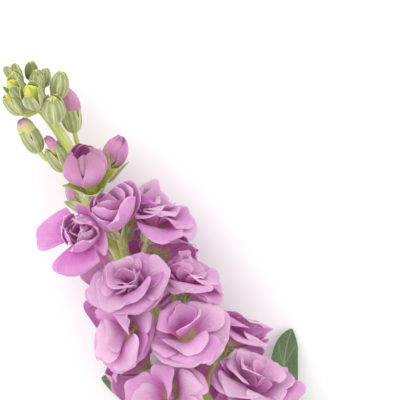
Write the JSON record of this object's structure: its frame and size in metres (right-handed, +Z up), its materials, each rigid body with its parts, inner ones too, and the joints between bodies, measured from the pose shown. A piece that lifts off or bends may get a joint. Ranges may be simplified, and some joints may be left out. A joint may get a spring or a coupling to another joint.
{
  "type": "cut stock flower stem",
  "caption": "Cut stem of double lilac-pink stock, lying on its side: spike of buds and blooms, with leaves and a bare stem end.",
  "frame": {"origin": "middle of the lying stem's bounding box in X and Y, on the surface it lies on", "axes": "+Y along the stem towards the flower tip, +Z up from the surface, +X to the right of the tip seen from above"},
  "size_m": [0.1072, 0.37, 0.0613],
  "materials": {
    "stem_green": "satin",
    "petal_pink": "satin",
    "bud_pink": "satin",
    "leaf_green": "matte"
  },
  "bodies": {
    "root": {"stem": "stem_green", "pink_bud_01": "bud_pink", "pink_bud_02": "bud_pink", "pink_bud_03": "bud_pink", "pink_bud_04": "bud_pink", "pink_bud_05": "bud_pink", "pink_bud_06": "bud_pink", "pink_bud_07": "bud_pink", "pink_bud_08": "bud_pink", "pink_bud_09": "bud_pink", "bloom_01": "petal_pink", "bloom_02": "petal_pink", "bloom_03": "petal_pink", "bloom_04": "petal_pink", "bloom_05": "petal_pink", "bloom_06": "petal_pink", "bloom_07": "petal_pink", "bloom_08": "petal_pink", "bloom_09": "petal_pink", "bloom_10": "petal_pink", "bloom_11": "petal_pink", "bloom_12": "petal_pink", "bloom_13": "petal_pink", "bloom_14": "petal_pink", "bloom_15": "petal_pink", "bloom_16": "petal_pink", "bloom_17": "petal_pink", "bloom_18": "petal_pink", "bloom_19": "petal_pink", "leaf_01": "leaf_green", "leaf_02": "leaf_green", "leaf_03": "leaf_green", "leaf_04": "leaf_green", "leaf_05": "leaf_green", "leaf_06": "leaf_green", "leaf_07": "leaf_green"}
  },
  "joints": []
}
